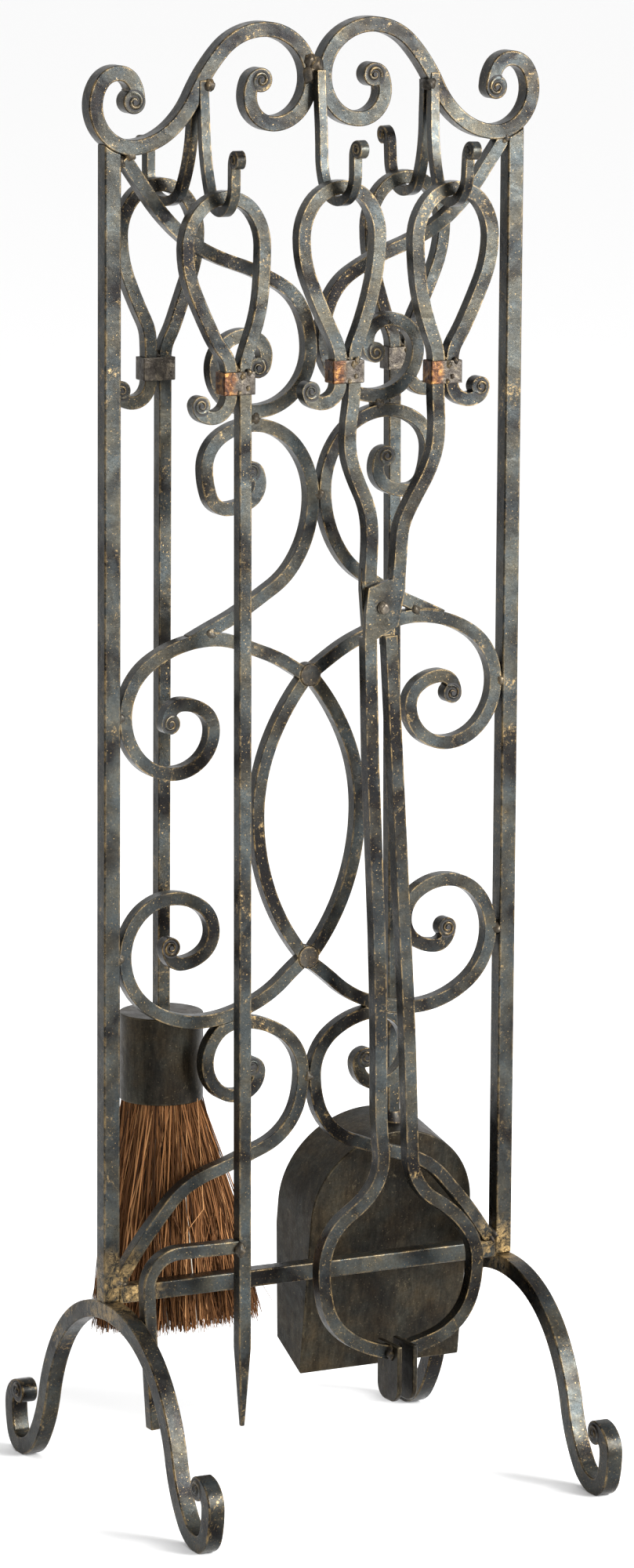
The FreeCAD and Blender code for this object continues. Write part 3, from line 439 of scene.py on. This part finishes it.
def rolled_ends(mesh, axis, radius, most):
    """Centre of each rolled end and the way its open side faces.

    Every facet of a disc points away from the disc's centre, so the facets vote for it.
    """
    across = axis.cross(Vector((0, 0, 1))).normalized()
    up = across.cross(axis).normalized()
    votes = {}
    for face in mesh.polygons:
        if abs(face.normal.dot(axis)) > 0.05:
            continue
        spot = face.center - face.normal * radius
        column = math.floor(spot.dot(across) / CELL)
        row = math.floor(spot.dot(up) / CELL)
        for cell in ((column, row), (column + 1, row), (column, row + 1), (column + 1, row + 1)):
            votes.setdefault(cell, []).append((face.area, spot, face.normal.copy()))

    def roundness(cell):
        """High where the facets face all ways, low on a mere bend."""
        total = sum(v[0] for v in votes[cell])
        return total - sum((v[2] * v[0] for v in votes[cell]), Vector()).length

    found = []
    for cell in sorted(votes, key=roundness, reverse=True):
        weight = sum(v[0] for v in votes[cell])
        centre = sum((v[1] * v[0] for v in votes[cell]), Vector()) / weight
        if any((centre - other[0]).length < 3 * radius for other in found):
            continue
        opening = sum((v[2] * v[0] for v in votes[cell]), Vector()).normalized()
        found.append((centre, opening))
        if len(found) == most:
            break
    return found, across, up


def coil_lines(mesh, axis, across, up, centre, opening, radius):
    """Angle, sense and half depth of the coil at one rolled end."""
    middle = centre.dot(axis)
    reach = [0.0, 0.0]
    bulk = Vector()
    for vertex in mesh.vertices:
        offset = vertex.co - centre
        flat = offset - axis * offset.dot(axis)
        if flat.length < radius * 1.05:
            reach[0] = min(reach[0], vertex.co.dot(axis) - middle)
            reach[1] = max(reach[1], vertex.co.dot(axis) - middle)
        elif radius * 1.3 < flat.length < radius * 3.5:
            bulk += flat.normalized()
    start = -opening
    cross = start.dot(across) * bulk.dot(up) - start.dot(up) * bulk.dot(across)
    sense = -math.copysign(1, cross)
    angle = math.atan2(start.dot(up), start.dot(across))
    return angle, sense, reach


def coil(centre, axis, across, up, angle, sense, reach, radius):
    """Spiral gap, crowned turns and dark middle on both sides of a rolled end; the gap strip and
    the middle disc are painted shade, laid just proud of the face.
    """
    pitch = (radius - COIL_INNER) / COIL_TURNS
    gap_points, gap_faces, crown_points, crown_faces = [], [], [], []
    for side in (0, 1):
        way = (-1, 1)[side]
        level = reach[side] + way * PROUD
        for step in range(COIL_STEPS + 1):
            share = step / COIL_STEPS
            turn = angle + sense * (COIL_START + share * COIL_TURNS * math.tau)
            out = across * math.cos(turn) + up * math.sin(turn)
            middle = radius - 0.25 * MM - share * COIL_TURNS * pitch
            half = (0.62 - 0.24 * share) * MM
            # a strip of painted shade along the spiral gap between turns
            for offset in (-half, half):
                gap_points.append(centre + out * (middle + offset) + axis * level)
            body_mid = middle - pitch / 2
            wide = pitch / 2 - 0.35 * MM
            rise = 0.80 * MM * min(1, 6 * share, 6 * (1 - share) + 0.2)
            crown = ((-wide, 0), (-wide / 2, 0.75), (0, 1), (wide / 2, 0.75), (wide, 0))
            for offset, lift in crown:
                place = max(body_mid + offset, 0.15 * MM)
                crown_points.append(centre + out * place + axis * (level + way * rise * lift))
            if step:
                last = len(gap_points) - 4
                gap_faces.append((last, last + 1, last + 3, last + 2))
                last = len(crown_points) - 10
                for k in range(4):
                    crown_faces.append((last + k, last + k + 1, last + k + 6, last + k + 5))
        # a disc of painted shade over the coil's hollow middle
        first = len(gap_points)
        for k in range(DOT_SIDES):
            turn = math.tau * k / DOT_SIDES
            out = across * math.cos(turn) + up * math.sin(turn)
            gap_points.append(centre + out * DOT_RADIUS + axis * (level + way * DOT_LIFT))
        gap_faces.append(tuple(range(first, first + DOT_SIDES)))
    return gap_points, gap_faces, crown_points, crown_faces


def side_middle(mesh, axis):
    """Middle of a bar's depth along its side axis."""
    depths = [vertex.co.dot(axis) for vertex in mesh.vertices]
    return (min(depths) + max(depths)) / 2


def dress_coils():
    """Coil every rolled end of the stand and the tools."""
    jobs = []
    for name in nodes:
        if name.startswith("crest"):
            jobs.append((name, "crest", Vector((0, 1, 0)), 2))
        elif name.startswith("foot"):
            jobs.append((name, "foot", Vector((1, 0, 0)), 2))
        elif name.startswith("hook"):
            jobs.append((name, "hook", Vector((1, 0, 0)), 1))
        elif name.split("_")[0] in SCROLLS and "scroll" in name:
            jobs.append((name, "scroll", Vector((0, 1, 0)), 1))
        elif name.endswith("_bar") and not name.startswith("lens") or name.startswith("tongs_arm"):
            jobs.append((name, "tail", Vector((0, 1, 0)), 1))
    gaps, crowns = {}, {}
    for name, kind, guess, most in sorted(jobs):
        mesh = nodes[name].data
        radius = EYE_RADII[kind] * MM
        axis = side_axis(mesh, guess)
        found, across, up = rolled_ends(mesh, axis, radius, most)
        for centre, opening in found:
            centre = centre - axis * centre.dot(axis) + axis * side_middle(mesh, axis)
            angle, sense, reach = coil_lines(mesh, axis, across, up, centre, opening, radius)
            made = coil(centre, axis, across, up, angle, sense, reach, radius)
            for store, points, faces in ((gaps, made[0], made[1]), (crowns, made[2], made[3])):
                all_points, all_faces = store.setdefault(BODY_OF[name], ([], []))
                start = len(all_points)
                all_points.extend(points)
                all_faces.extend(tuple(start + i for i in face) for face in faces)
    for body, (points, faces) in gaps.items():
        # the gap strips and middle discs carry painted shade
        add_piece(body + "_coil_gap_shade", points, faces, body, COIL_SHADE, False)
    for body, (points, faces) in crowns.items():
        add_piece(body + "_coil_turns", points, faces, body, STEEL)


# ---------------------------------------------------------------- welds
WELDED_WITHIN = 2.2 * MM


def lump(points, faces, centre, reach, seed):
    """One lumpy bead; reach is its half size along X, Y and Z."""
    ball = bmesh.new()
    bmesh.ops.create_icosphere(ball, subdivisions=3, radius=1.0)
    start = len(points)
    for vertex in ball.verts:
        at = vertex.co.copy()
        swell = 1 + 0.30 * noise.noise(at * 1.7 + Vector((seed * 3.1, seed * 1.7, 0)))
        swell += 0.12 * noise.noise(at * 4.3 + Vector((0, seed * 2.3, seed)))
        points.append(centre + Vector(at[i] * reach[i] * swell for i in range(3)))
    for face in ball.faces:
        faces.append(tuple(start + vertex.index for vertex in face.verts))
    ball.free()


def meeting(first, second):
    """Where two CAD nodes come closest, and how close."""
    tree = BVHTree.FromPolygons([v.co for v in nodes[second].data.vertices],
                                [p.vertices for p in nodes[second].data.polygons])
    mesh = nodes[first].data
    best = None
    for point in [v.co for v in mesh.vertices] + [p.center for p in mesh.polygons]:
        place, _, _, gap = tree.find_nearest(point)
        if place is not None and (best is None or gap < best[0]):
            best = (gap, (point + place) / 2)
    return best


def dress_welds():
    """A bead of weld where the stand's bars meet, and at the claws and the barb."""
    pairs = [("crest_left", "crest_right", 4.6), ("heart_scroll_left", "heart_scroll_right", 3.8),
             ("base_scroll_left", "base_scroll_right", 3.6)]
    for side in ("left", "right"):
        pairs += [(f"heart_scroll_{side}", f"shoulder_scroll_{side}", 3.8),
                  (f"shoulder_scroll_{side}", f"post_{side}", 3.8),
                  (f"hip_scroll_{side}", f"post_{side}", 3.8),
                  (f"base_scroll_{side}", f"post_{side}", 3.8),
                  (f"base_scroll_{side}", "lower_rail", 3.6),
                  (f"top_scroll_{side}", f"crest_{side}", 3.8),
                  (f"top_scroll_{side}", f"heart_scroll_{side}", 3.6),
                  (f"top_scroll_{side}", f"post_{side}", 3.6),
                  (f"hook_front_{side}", f"crest_{side}", 3.4),
                  (f"hook_rear_{side}", f"crest_{side}", 3.4)]
    points, faces = [], []
    for seed, (first, second, width) in enumerate(pairs):
        gap, place = meeting(first, second)
        if gap > WELDED_WITHIN:
            continue
        low_a, high_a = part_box(first)
        low_b, high_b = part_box(second)
        place.y = (max(low_a.y, low_b.y) + min(high_a.y, high_b.y)) / 2
        reach = (width * 1.15 * MM, 5.0 * MM, width * 1.15 * MM)
        if "crest" in first and "crest" in second:
            reach = (4.8 * MM, 6.2 * MM, 7.0 * MM)
        lump(points, faces, place, reach, seed + 1)
        nudge = Vector((1.4, 0.0, 1.2)) * MM * (1 if seed % 2 else -1)
        nudge.y = -0.7 * MM
        lump(points, faces, place + nudge, tuple(0.62 * r for r in reach), seed + 40)
    hook_low, hook_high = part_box("hook_front_middle")
    crest_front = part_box("crest_left")[0].y
    beads = ((-3.0, -3.0, 5.0), (0.5, 2.0, 4.4), (-3.5, 5.0, 3.6), (1.5, -7.0, 3.2))
    for seed, (across, up, wide) in enumerate(beads):
        place = Vector((hook_low.x + 2.0 * MM + across * MM, crest_front + 0.4 * MM,
                        hook_high.z + up * MM))
        lump(points, faces, place, (wide * MM, 2.6 * MM, wide * 1.15 * MM), seed + 80)
    add_piece("stand_welds", points, faces, "stand", WELD)

    for first, second, body in (("tongs_arm_front", "tongs_claw_left", "tongs_front"),
                                ("tongs_arm_rear", "tongs_claw_right", "tongs_rear"),
                                ("poker_barb", "poker_bar", "poker")):
        place = meeting(first, second)[1]
        points, faces = [], []
        lump(points, faces, place, (3.2 * MM, 3.9 * MM, 4.2 * MM), 7)
        add_piece(body + "_weld", points, faces, body, WELD)


# Share of a strap's width and height, and half width in millimetres, of each lump.
STRAP_LUMPS = ((0.60, 0.82, 1.9), (0.72, 0.30, 1.5), (0.80, 0.95, 1.8), (0.52, 0.10, 1.4))


def dress_collars():
    """Small lumps where each strap is closed, and weld between the bars just over it."""
    random.seed(11)
    for name in [n for n in sorted(nodes) if "_collar" in n]:
        low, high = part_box(name)
        wide, tall = high.x - low.x, high.z - low.z
        points, faces = [], []
        middle = (low + high) / 2
        lump(points, faces, Vector((middle.x, middle.y, high.z + 1.2 * MM)),
             (1.7 * MM, 3.4 * MM, 2.6 * MM), 3)
        if name != "brush_collar":
            for share_x, share_z, width in STRAP_LUMPS:
                place = Vector((low.x + wide * share_x + random.uniform(-1, 1) * MM,
                                low.y + 0.5 * MM, low.z + tall * share_z))
                reach = (width * MM, 1.3 * MM, width * 1.2 * MM)
                lump(points, faces, place, reach, random.random() * 9)
        add_piece(name + "_lumps", points, faces, BODY_OF[name], WELD)


def dress_rivet():
    """Hammered dome on the rivet's front head."""
    low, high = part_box("tongs_rivet")
    points, faces = [], []
    wide = (high.x - low.x) / 2
    lump(points, faces, Vector(((low.x + high.x) / 2, low.y + 1.0 * MM, (low.z + high.z) / 2)),
         (wide * 0.8, 1.6 * MM, wide * 0.8), 5)
    add_piece("rivet_dome", points, faces, "tongs_pivot", RIVET)


# ---------------------------------------------------------------- bristles
STRANDS, QUICK_STRANDS = 4600, 900
CROSSING_EVERY = 9
ROOT_LIFT = 3.0 * MM
CUP_INSET = 2.0 * MM
RAGGED = 11.0 * MM


def make_bristles():
    """Stiff fibres that spread from the cup to a ragged lower edge."""
    random.seed(27)
    low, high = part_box("brush_bristles")
    cup_low, cup_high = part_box("brush_ferrule")
    root = Vector(((cup_low.x + cup_high.x) / 2, (cup_low.y + cup_high.y) / 2,
                   cup_low.z + ROOT_LIFT))
    foot = Vector(((low.x + high.x) / 2, (low.y + high.y) / 2, low.z))
    wide, deep = (high.x - low.x) / 2, (high.y - low.y) / 2
    mouth = (cup_high.x - cup_low.x) / 2 - CUP_INSET
    count = STRANDS
    points, faces, tints = [], [], []
    for number in range(count):
        around = random.uniform(0, math.tau)
        out = math.sqrt(random.random())
        top = root + Vector((math.cos(around), math.sin(around), 0)) * mouth * out
        around += random.gauss(0, 0.42)
        out = min(out * random.uniform(0.74, 1.10), 0.985)
        end = foot + Vector((math.cos(around) * wide, math.sin(around) * deep, 0)) * out
        end.z = foot.z + RAGGED * random.random() ** 1.6
        middle = (top + end) / 2 + Vector((random.gauss(0, 2.2), random.gauss(0, 1.2), 0)) * MM
        middle += (end - top).xy.to_3d() * 0.05
        if number % CROSSING_EVERY == 0:
            side = random.gauss(0, 9.0) * MM
            sideways = Vector((-math.sin(around), math.cos(around), 0))
            top += sideways * side * 0.3
            middle += sideways * side * 0.6
            end -= sideways * side
        width = random.uniform(0.26, 0.50) * MM
        tint = 1.0 if random.random() < 0.012 else min(0.95, max(0.0, random.gauss(0.46, 0.26)))
        base = len(points)
        spin = random.uniform(0, math.tau)
        for level, share in ((top, 1.0), (middle, 1.0), (end, 0.55)):
            for k in range(3):
                turn = spin + math.tau * k / 3
                points.append(level + Vector((math.cos(turn), math.sin(turn), 0)) * width * share)
                tints.append(tint)
        for ring in (0, 3):
            for k in range(3):
                n = (k + 1) % 3
                faces.append((base + ring + k, base + ring + n, base + ring + 3 + n,
                              base + ring + 3 + k))
        faces.append((base + 8, base + 7, base + 6))
        faces.append((base, base + 1, base + 2))
    piece = add_piece("bristles", points, faces, "brush", FIBRE)
    strand = piece.data.attributes.new("strand", "FLOAT", "POINT")
    strand.data.foreach_set("value", tints)
    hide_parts("brush_bristles")


make_camera()
make_studio()
dress_frame()
dress_coils()
dress_welds()
dress_collars()
dress_rivet()
make_bristles()
